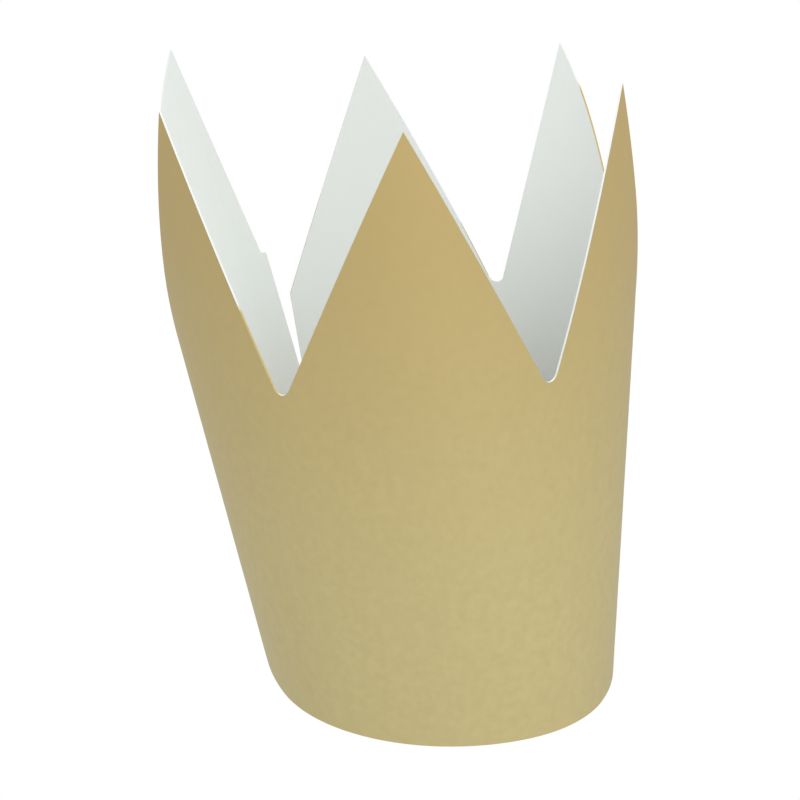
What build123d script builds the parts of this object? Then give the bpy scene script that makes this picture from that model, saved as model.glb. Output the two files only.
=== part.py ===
"""A paper crown: one die-cut strip of card curved into a leaning, flared ring, taped at a lap.

Lengths are millimetres. The origin is the middle of the crown's footprint, on the surface that it
stands on, +Z is up and -Y is the front, where a whole spike faces forwards.
"""

import os
from cmath import exp as turned
from math import cos, radians, sin, tan

from build123d import *

# --- the card -----------------------------------------------------------------------------------
CARD = 0.5  # thickness of the foil-laminated card
TAPE = 0.06  # double-sided tape in the lap
INSET = CARD + 0.1  # the finish end lies this far inside the start end
LEVEL = 186.8  # height of the upper of the two levels that set the ring's shape
SHEET_TOP = 160.0  # the uncut strip reaches above the tips
LAP_TOP = 60.0  # above this height the two ends stand apart

# Seen from above the ring is a chain of arcs, and each turns the card by the same angle at the
# lower edge and at LEVEL, so the card between them is curved one way only, as a sheet has to be.
TURN = 45.0
SEAM = -157.5  # the direction of the lower edge where the ring closes
LOWER_RADII = (17.0, 93.0, 47.3, 46.1, 34.0, 54.9)
UPPER_RADII = (19.8, 22.4, 102.4, 31.8, 97.8, 24.0)
FRONT = (13.12, -48.52)  # the lower edge's front point
LEAN = (-17.3, -17.9)  # how far LEVEL's front point stands from the lower edge's front point

# Directions of the strip's two ends at the lower edge, at LAP_TOP and at SHEET_TOP.
START_ENDS = (-165.0, -163.6, -161.3)
FINISH_ENDS = (202.5, 196.0, 193.8)

# --- the spikes ---------------------------------------------------------------------------------
# Each point is the direction of the wall there and its height.
TIPS = ((-156.8, 155.0), (-51.2, 152.9), (9.0, 154.3), (59.3, 155.2), (157.1, 154.7), (180.3, 150.1))
VALLEYS = ((-86.8, 72.9), (-36.5, 86.3), (39.3, 87.9), (97.0, 80.3), (155.6, 84.4))
START_SLOPE_END = (-163.8, 77.7)
FINISH_SLOPE_END = (194.9, 85.8)
SHOULDER = 97.5  # the start end's spike stops at a small level shoulder
VALLEY_ROUND = 2.2
CUT_DEPTH = 9.0  # how far a cutter reaches to each side of the card
NOTCH_REACH = 110.0  # a notch's cutter goes this far up from the valley
NOTCH_DEPTH = 22.0  # the same for a notch, whose sides run round the ring
PAST = 3.0  # the two halves of a notch overlap by this much above the valley
OVERRUN = 1.6  # a slope's cutter is this many times as long as the slope
BESIDE = 1.2  # a cutter at a strip end reaches this far past it
FOOT_RUN = 5.0  # the finish end's slope runs on down past its foot by this much

# --- the tape -----------------------------------------------------------------------------------
TAPE_HEIGHTS = (3.0, 35.0)
TAPE_STARTS = (-164.3, -163.8)
TAPE_FINISHES = (-158.6, -161.8)


def closing(six):
    """The eight radii of a ring whose finish end lies INSET inside its start end."""
    radii = list(six) + [0.0, 0.0]
    chord = 2 * sin(radians(TURN / 2))
    wanted = 1j * turned(1j * radians(SEAM)) * INSET / chord
    step = [turned(1j * radians(SEAM + TURN / 2 + TURN * k)) for k in range(8)]
    rest = wanted - sum(r * s for r, s in zip(radii, step))
    a, b = step[6], step[7]
    area = a.real * b.imag - a.imag * b.real
    radii[6] = (rest.real * b.imag - rest.imag * b.real) / area
    radii[7] = (a.real * rest.imag - a.imag * rest.real) / area
    return radii


LOWER = closing(LOWER_RADII)
UPPER = closing(UPPER_RADII)


def radii_at(height):
    """The eight radii of the outer face at a height."""
    return [low + (up - low) * height / LEVEL for low, up in zip(LOWER, UPPER)]


def moved(radius, start, end):
    """The move along an arc from one direction to another."""
    return 1j * radius * (turned(1j * radians(start)) - turned(1j * radians(end)))


def seam_at(height):
    """The outer face's point where the ring closes, at a height."""
    front = complex(*FRONT) + complex(*LEAN) * height / LEVEL
    radii = radii_at(height)
    whole = sum(moved(radii[k], SEAM + TURN * k, SEAM + TURN * (k + 1)) for k in range(3))
    return front - whole - moved(radii[3], -TURN / 2, 0)


def outer(direction, height, inset=0.0):
    """The point of the outer face with this direction of the wall, at a height."""
    radii = radii_at(height)
    spot = seam_at(height)
    if direction < SEAM:
        spot += moved(radii[7] + INSET, SEAM, direction)
    for k, radius in enumerate(radii):
        begin = SEAM + TURN * k
        if direction > begin:
            spot += moved(radius, begin, min(direction, begin + TURN))
    spot += 1j * turned(1j * radians(direction)) * inset
    return Vector(spot.real, spot.imag, height)


def outward(direction, height):
    """The unit normal of the outer face."""
    along = Vector(cos(radians(direction)), sin(radians(direction)), 0)
    rise = outer(direction, height + 1) - outer(direction, height)
    return along.cross(rise).normalized()


def band(height, start, finish, inset, thickness):
    """Draw the outline of the card, or of a layer of it, at a height."""
    radii = radii_at(height)
    arcs = [(start, SEAM, radii[7] + INSET)]
    arcs += [(SEAM + TURN * k, SEAM + TURN * (k + 1), radii[k]) for k in range(7)]
    arcs += [(SEAM + TURN * 7, finish, radii[7])]
    if finish < SEAM:
        arcs = [(start, finish, radii[7] + INSET)]
    begin = outer(start, height, inset)
    spot = Vector(begin.X, begin.Y)
    for low, high, radius in arcs:
        tangent = (cos(radians(low)), sin(radians(low)))
        edge = JernArc(spot, tangent, radius - inset, high - low)
        spot = edge @ 1
    normal = Vector(-sin(radians(finish)), cos(radians(finish)))
    across = Line(spot, spot + normal * thickness)
    spot = across @ 1
    for low, high, radius in reversed(arcs):
        tangent = (-cos(radians(high)), -sin(radians(high)))
        edge = JernArc(spot, tangent, radius - inset - thickness, low - high)
        spot = edge @ 1
    Line(spot, Vector(begin.X, begin.Y))


def slope_plane(low, high):
    """The plane for cutting a slope: square to the card midway, its origin at the slope's foot."""
    foot, top = outer(*low), outer(*high)
    middle = (outward(*low) + outward(*high)).normalized()
    return Plane(origin=foot, x_dir=(top - foot).normalized(), z_dir=middle)


def tangent(direction):
    """The level unit vector along the wall."""
    return Vector(cos(radians(direction)), sin(radians(direction)), 0)


def flat(plane, point):
    """A point in a plane's own coordinates, dropped square onto it."""
    local = plane.to_local_coords(point)
    return (local.X, local.Y)


with BuildPart() as crown_card:
    for height, start, finish in zip((0.0, LAP_TOP, SHEET_TOP), START_ENDS, FINISH_ENDS):
        with BuildSketch(Plane.XY.offset(height)):
            with BuildLine():
                band(height, start, finish, 0.0, CARD)
            make_face()
    loft(ruled=True)
    # The notches: each side of one is cut square to the card.
    for k, valley in enumerate(VALLEYS):
        bottom = outer(*valley)
        to_left = (outer(*TIPS[k]) - bottom).normalized()
        to_right = (outer(*TIPS[k + 1]) - bottom).normalized()
        half = radians(to_left.get_angle(to_right) / 2)
        between = (to_left + to_right).normalized()
        centre = bottom + between * (VALLEY_ROUND / sin(half))
        above = bottom + between * NOTCH_REACH
        for tip in (TIPS[k], TIPS[k + 1]):
            plane = slope_plane(valley, tip)
            run = (outer(*tip) - bottom).length
            local_above = Vector(*flat(plane, above))
            local_centre = Vector(*flat(plane, centre))
            side = 1 if local_above.Y > 0 else -1
            up = local_above.normalized()
            past = Vector(-up.Y, up.X) * PAST * side
            with BuildSketch(plane):
                with BuildLine():
                    Polyline(
                        (VALLEY_ROUND / tan(half), 0),
                        (run * OVERRUN, 0),
                        local_above + past,
                        local_centre + up * PAST * 3 + past,
                        local_centre,
                        (VALLEY_ROUND / tan(half), 0),
                    )
                make_face()
            extrude(amount=NOTCH_DEPTH, both=True, mode=Mode.SUBTRACT)
        with Locations(Plane(origin=centre, z_dir=outward(*valley))):
            Cylinder(VALLEY_ROUND, 2 * CUT_DEPTH, mode=Mode.SUBTRACT)
    # The start end's outer slope stops at a small shoulder beside the seam.
    plane = slope_plane(START_SLOPE_END, TIPS[0])
    run = (outer(*TIPS[0]) - outer(*START_SLOPE_END)).length
    foot = (SHOULDER - START_SLOPE_END[1]) / (TIPS[0][1] - START_SLOPE_END[1]) * run
    edge_low = outer(START_ENDS[1], SHOULDER) - tangent(START_ENDS[1]) * BESIDE
    edge_top = outer(START_ENDS[2], SHEET_TOP + 5) - tangent(START_ENDS[2]) * BESIDE
    with BuildSketch(plane):
        with BuildLine():
            Polyline(
                (foot, 0),
                (run * OVERRUN, 0),
                flat(plane, edge_top),
                flat(plane, edge_low),
                (foot, 0),
            )
        make_face()
    extrude(amount=CUT_DEPTH, both=True, mode=Mode.SUBTRACT)
    # The finish end's outer slope runs out at the end of the strip.
    plane = slope_plane(FINISH_SLOPE_END, TIPS[5])
    run = (outer(*TIPS[5]) - outer(*FINISH_SLOPE_END)).length
    edge_top = outer(FINISH_ENDS[2], SHEET_TOP + 5) + tangent(FINISH_ENDS[2]) * BESIDE * 4
    with BuildSketch(plane):
        with BuildLine():
            Polyline(
                (-FOOT_RUN, 0),
                (run * OVERRUN, 0),
                flat(plane, edge_top),
                (-FOOT_RUN, 0),
            )
        make_face()
    extrude(amount=CUT_DEPTH, both=True, mode=Mode.SUBTRACT)
    # Only the strip is kept: the offcuts between the spikes fall away.
    add(crown_card.part.solids().sort_by(SortBy.VOLUME)[-1], mode=Mode.REPLACE)
crown_card.part.label = "crown_card"

with BuildPart() as seam_tape:
    for height, start, finish in zip(TAPE_HEIGHTS, TAPE_STARTS, TAPE_FINISHES):
        with BuildSketch(Plane.XY.offset(height)):
            with BuildLine():
                band(height, start, finish, CARD, TAPE)
            make_face()
    loft(ruled=True)
seam_tape.part.label = "seam_tape"

box = crown_card.part.bounding_box()
print("closed radii", [round(r, 1) for r in LOWER], [round(r, 1) for r in UPPER])
print("box", box.min, box.max, "solids", len(crown_card.part.solids()))
for made in (crown_card, seam_tape):
    print(made.part.label, made.part.is_valid, round(made.part.volume, 1), "mm3")

os.makedirs("parts", exist_ok=True)
export_step(crown_card.part, "parts/crown_card.step")
export_step(seam_tape.part, "parts/seam_tape.step")
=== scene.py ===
"""The paper crown's visual model: gold foil card outside, matt white inside, on white."""

from __future__ import annotations

import logging
from dataclasses import dataclass
from enum import Enum

import bpy
from mathutils import Matrix, Vector


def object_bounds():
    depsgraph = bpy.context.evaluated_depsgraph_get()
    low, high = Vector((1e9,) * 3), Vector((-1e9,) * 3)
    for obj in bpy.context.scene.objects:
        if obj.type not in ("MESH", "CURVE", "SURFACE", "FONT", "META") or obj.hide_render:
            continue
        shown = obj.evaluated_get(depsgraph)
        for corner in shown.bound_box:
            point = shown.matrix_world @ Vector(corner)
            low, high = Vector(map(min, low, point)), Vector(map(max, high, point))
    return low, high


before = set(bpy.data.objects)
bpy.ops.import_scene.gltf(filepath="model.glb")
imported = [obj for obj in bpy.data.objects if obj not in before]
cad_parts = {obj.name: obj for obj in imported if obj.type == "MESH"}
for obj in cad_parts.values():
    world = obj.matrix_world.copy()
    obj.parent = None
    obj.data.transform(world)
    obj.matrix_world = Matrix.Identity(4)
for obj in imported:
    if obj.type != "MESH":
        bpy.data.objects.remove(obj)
log = logging.getLogger("crown")

Colour = tuple[float, float, float]

RING_MIDDLE = (-0.004, -0.001, 0.0)  # a point that the whole ring goes round, seen from above
LEVEL_ONLY = (1.0, 1.0, 0.0)
FOIL_FACING = (0.15, 0.17)  # a face turned outwards by more than this is foil
GRAIN_SCALE = 420.0
GRAIN_DETAIL = 3.0
PAINTED_REFLECTION_HEIGHTS = (0.09, 0.0)  # heights between which the paper turns to its painted gold reflection colour, warmer and darker lower down
PAINTED_HIGHLIGHT_HEIGHTS = (0.150, 0.02)  # heights between which the foil turns to its painted highlight colour, lighter lower down
LIGHT_AIM = (0.0, 0.0, 0.07)
SURROUND = 0.5  # strength of the white surroundings as the object feels them


class Node(str, Enum):
    """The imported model's nodes."""

    CARD = "crown_card"
    TAPE = "seam_tape"


@dataclass(frozen=True)
class CardFinish:
    """The colours of a foil-laminated card.

    Args:
        foil: the foil side's colour.
        foil_painted_highlight: painted highlight, the foil's colour where it catches the light.
        inside: the bare paper side's colour.
        inside_painted_reflection: painted gold reflection, the paper low down, where gold light
            falls on it.
        speckle: the foil's fine darker mottling.
        foil_metal: how metallic the foil is.
        foil_rough: the foil's roughness.
        paper_rough: the bare paper's roughness.
    """

    foil: Colour = (0.66, 0.50, 0.205)
    foil_painted_highlight: Colour = (0.80, 0.72, 0.36)
    inside: Colour = (0.74, 0.77, 0.745)
    inside_painted_reflection: Colour = (0.60, 0.59, 0.50)
    speckle: Colour = (0.60, 0.47, 0.22)
    foil_metal: float = 0.55
    foil_rough: float = 0.42
    paper_rough: float = 0.8


class Socket:
    """A shader socket or a number that can be used in arithmetic."""

    def __init__(self, net: "Net", value: object) -> None:
        """Args: net: the node tree's wrapper. value: a socket or a number."""
        self.net = net
        self.value = value

    def __mul__(self, other: object) -> "Socket":
        """Returns the product."""
        return self.net.math("MULTIPLY", self, other)

    def __add__(self, other: object) -> "Socket":
        """Returns the sum."""
        return self.net.math("ADD", self, other)

    def __sub__(self, other: object) -> "Socket":
        """Returns the difference."""
        return self.net.math("SUBTRACT", self, other)


class Net:
    """A material's node tree."""

    def __init__(self, name: str) -> None:
        """Args: name: the material's name."""
        self.material = bpy.data.materials.new(name)
        self.material.use_nodes = True
        self.tree = self.material.node_tree
        self.shader = self.tree.nodes["Principled BSDF"]

    def node(self, kind: str, inputs: dict | None = None, **settings: object) -> bpy.types.Node:
        """Adds a node.

        Args:
            kind: the node's type.
            inputs: values or sockets by input name or index.
            **settings: properties of the node.

        Returns:
            The node.
        """
        made = self.tree.nodes.new(kind)
        for key, value in settings.items():
            setattr(made, key, value)
        for key, value in (inputs or {}).items():
            self.put(made.inputs[key], value)
        return made

    def put(self, slot: bpy.types.NodeSocket, value: object) -> None:
        """Sets or links an input. Args: slot: the input. value: a Socket or a constant."""
        inner = value.value if isinstance(value, Socket) else value
        if isinstance(inner, bpy.types.NodeSocket):
            self.tree.links.new(inner, slot)
        else:
            slot.default_value = inner

    def math(self, operation: str, first: object, second: object) -> Socket:
        """Returns the result of a Math node. Args: operation, first, second: its parts."""
        made = self.node("ShaderNodeMath", {0: first, 1: second}, operation=operation)
        return Socket(self, made.outputs[0])

    def ramp(self, value: Socket, low: float, high: float) -> Socket:
        """Returns 0 to 1 smoothly between two values. Args: value, low, high: the range."""
        made = self.node(
            "ShaderNodeMapRange",
            {0: value, 1: low, 2: high},
            interpolation_type="SMOOTHSTEP",
        )
        return Socket(self, made.outputs[0])

    def mix(self, amount: Socket, first: object, second: object) -> Socket:
        """Returns a mixed colour. Args: amount: 0 to 1. first, second: colours."""
        made = self.node("ShaderNodeMix", {0: amount}, data_type="RGBA")
        for slot, value in ((6, first), (7, second)):
            self.put(made.inputs[slot], (*value, 1.0) if isinstance(value, tuple) else value)
        return Socket(self, made.outputs[2])


@dataclass
class CardMaterial:
    """Foil on the outer face, paper on the inner face and on the cut edges."""

    finish: CardFinish

    def build(self) -> bpy.types.Material:
        """Returns the material."""
        net = Net("foil_card")
        where = net.node("ShaderNodeTexCoord")
        normal = net.node("ShaderNodeNewGeometry")
        position = net.node("ShaderNodeSeparateXYZ", {0: Socket(net, where.outputs["Object"])})
        outward = net.node(
            "ShaderNodeVectorMath",
            {0: Socket(net, where.outputs["Object"]), 1: RING_MIDDLE},
            operation="SUBTRACT",
        )
        flat = net.node(
            "ShaderNodeVectorMath",
            {0: Socket(net, outward.outputs[0]), 1: LEVEL_ONLY},
            operation="MULTIPLY",
        )
        unit = net.node(
            "ShaderNodeVectorMath", {0: Socket(net, flat.outputs[0])}, operation="NORMALIZE"
        )
        dot = net.node(
            "ShaderNodeVectorMath",
            {0: Socket(net, unit.outputs[0]), 1: Socket(net, normal.outputs["True Normal"])},
            operation="DOT_PRODUCT",
        )
        facing = Socket(net, dot.outputs["Value"])
        height = Socket(net, position.outputs[2])
        is_foil = net.ramp(facing, *FOIL_FACING)
        grain = net.node(
            "ShaderNodeTexNoise",
            {
                "Vector": Socket(net, where.outputs["Object"]),
                "Scale": GRAIN_SCALE,
                "Detail": GRAIN_DETAIL,
            },
        )
        speck = Socket(net, grain.outputs[0])
        # painted gold reflection: the paper warmer and darker lower down, standing in for gold
        # light thrown onto it
        low = net.ramp(height, *PAINTED_REFLECTION_HEIGHTS)
        # painted highlight: the foil lighter lower down, standing in for light falling on it
        painted_highlight = net.ramp(height, *PAINTED_HIGHLIGHT_HEIGHTS)
        foil = net.mix(painted_highlight * 0.7, self.finish.foil, self.finish.foil_painted_highlight)
        foil = net.mix((speck - 0.5) * 0.6 + 0.15, foil.value, self.finish.speckle)
        paper = net.mix(low, self.finish.inside, self.finish.inside_painted_reflection)
        colour = net.mix(is_foil, paper.value, foil.value)
        net.put(net.shader.inputs["Base Color"], colour)
        net.put(net.shader.inputs["Metallic"], is_foil * self.finish.foil_metal)
        change = self.finish.foil_rough - self.finish.paper_rough
        rough = is_foil * change + self.finish.paper_rough
        net.put(net.shader.inputs["Roughness"], rough)
        return net.material


@dataclass
class Studio:
    """The camera, the lights and the white surroundings."""

    eye: tuple[float, float, float] = (0.01312, -0.54440, 0.27159)
    lens: float = 105.05

    def camera(self) -> None:
        """Places the camera."""
        data = bpy.data.cameras.new("camera")
        made = bpy.data.objects.new("camera", data)
        bpy.context.scene.collection.objects.link(made)
        data.lens = self.lens
        data.sensor_width = 36.0
        right = Vector((0.99958, 0.013689, -0.025526))
        up = Vector((0.01921, 0.346285, 0.937932))
        back = right.cross(up)
        turn = Matrix((right, up, back)).transposed().to_4x4()
        made.matrix_world = Matrix.Translation(self.eye) @ turn
        bpy.context.scene.camera = made

    def lights(self) -> None:
        """Adds the large soft lights."""
        for name, spot, power, size in (
            ("key", (0.35, -0.7, 0.7), 8.0, 0.5),
            ("fill", (-0.8, -0.2, 0.5), 3.0, 0.7),
            ("above", (0.0, 0.3, 1.0), 2.0, 0.8),
        ):
            data = bpy.data.lights.new(name, "AREA")
            data.energy = power
            data.size = size
            made = bpy.data.objects.new(name, data)
            bpy.context.scene.collection.objects.link(made)
            aim = Vector(LIGHT_AIM) - Vector(spot)
            made.location = spot
            made.rotation_euler = aim.to_track_quat("-Z", "Y").to_euler()

    def world(self) -> None:
        """Makes the surroundings pure white to the camera and softer to the object."""
        world = bpy.data.worlds.new("white")
        bpy.context.scene.world = world
        world.use_nodes = True
        tree = world.node_tree
        tree.nodes.clear()
        ray = tree.nodes.new("ShaderNodeLightPath")
        seen = tree.nodes.new("ShaderNodeBackground")
        seen.inputs["Color"].default_value = (1.0, 1.0, 1.0, 1.0)
        seen.inputs["Strength"].default_value = 1.0
        felt = tree.nodes.new("ShaderNodeBackground")
        felt.inputs["Color"].default_value = (1.0, 1.0, 1.0, 1.0)
        felt.inputs["Strength"].default_value = SURROUND
        blend = tree.nodes.new("ShaderNodeMixShader")
        out = tree.nodes.new("ShaderNodeOutputWorld")
        tree.links.new(ray.outputs["Is Camera Ray"], blend.inputs[0])
        tree.links.new(felt.outputs[0], blend.inputs[1])
        tree.links.new(seen.outputs[0], blend.inputs[2])
        tree.links.new(blend.outputs[0], out.inputs[0])
        bpy.context.scene.view_settings.view_transform = "Standard"


def plain_numbers(bounds: object) -> list:
    """Returns bounds as plain nested lists."""
    if isinstance(bounds, dict):
        return [plain_numbers(value) for value in bounds.values()]
    if isinstance(bounds, (Vector, list, tuple)):
        return [plain_numbers(value) for value in tuple(bounds)]
    return float(bounds)


def main() -> None:
    """Dresses the frame and logs its bounds."""
    logging.basicConfig(level=logging.INFO)
    before = plain_numbers(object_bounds())
    bpy.ops.object.select_all(action="DESELECT")
    card = CardMaterial(CardFinish()).build()
    tape = Net("tape")
    tape.put(tape.shader.inputs["Base Color"], (0.85, 0.85, 0.82, 1.0))
    tape.put(tape.shader.inputs["Roughness"], 0.5)
    for name, material in ((Node.CARD, card), (Node.TAPE, tape.material)):
        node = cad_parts[name.value]
        node.data.materials.clear()
        node.data.materials.append(material)
    studio = Studio()
    studio.camera()
    studio.lights()
    studio.world()
    after = plain_numbers(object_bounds())
    log.info("bounds %s", after)


if __name__ == "__main__":
    main()
